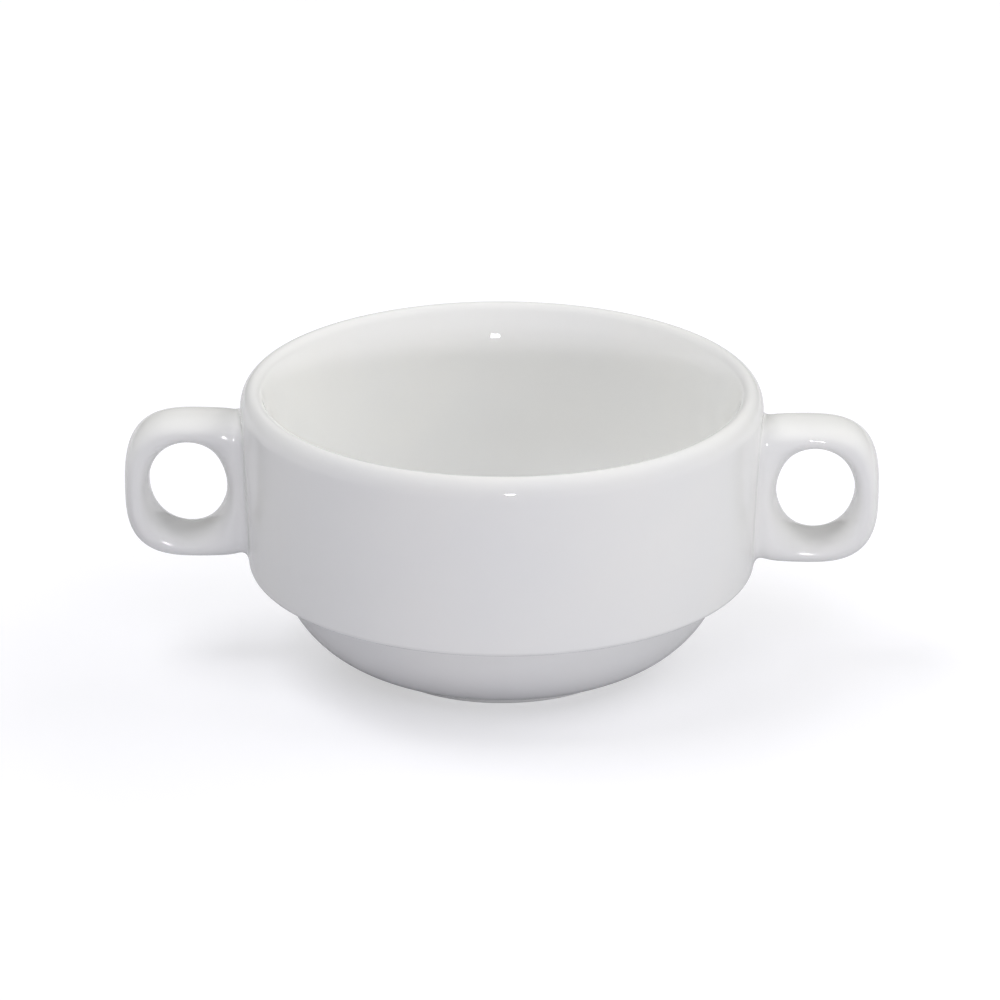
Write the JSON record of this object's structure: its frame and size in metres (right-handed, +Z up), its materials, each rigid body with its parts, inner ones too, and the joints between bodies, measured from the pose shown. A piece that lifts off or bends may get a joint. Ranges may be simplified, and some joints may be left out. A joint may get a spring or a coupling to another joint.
{
  "type": "soup cup",
  "caption": "Stacking soup cup in white glazed porcelain, with a rolled rim, a stepped wall that drops into the cup below, a foot ring and a looped lug handle on each side.",
  "frame": {"origin": "centre of the foot ring's standing face, on the cup's axis", "axes": "+Z up along the cup's axis, X through both handles"},
  "size_m": [0.1518, 0.105, 0.058],
  "materials": {
    "glazed_porcelain": "clear gloss glaze over white porcelain",
    "luting_slip": "fired luting slip under the same clear gloss glaze"
  },
  "bodies": {
    "root": {"cup_body": "glazed_porcelain", "left_handle": "glazed_porcelain", "right_handle": "glazed_porcelain", "left_handle_slip": "luting_slip", "right_handle_slip": "luting_slip"}
  },
  "joints": []
}
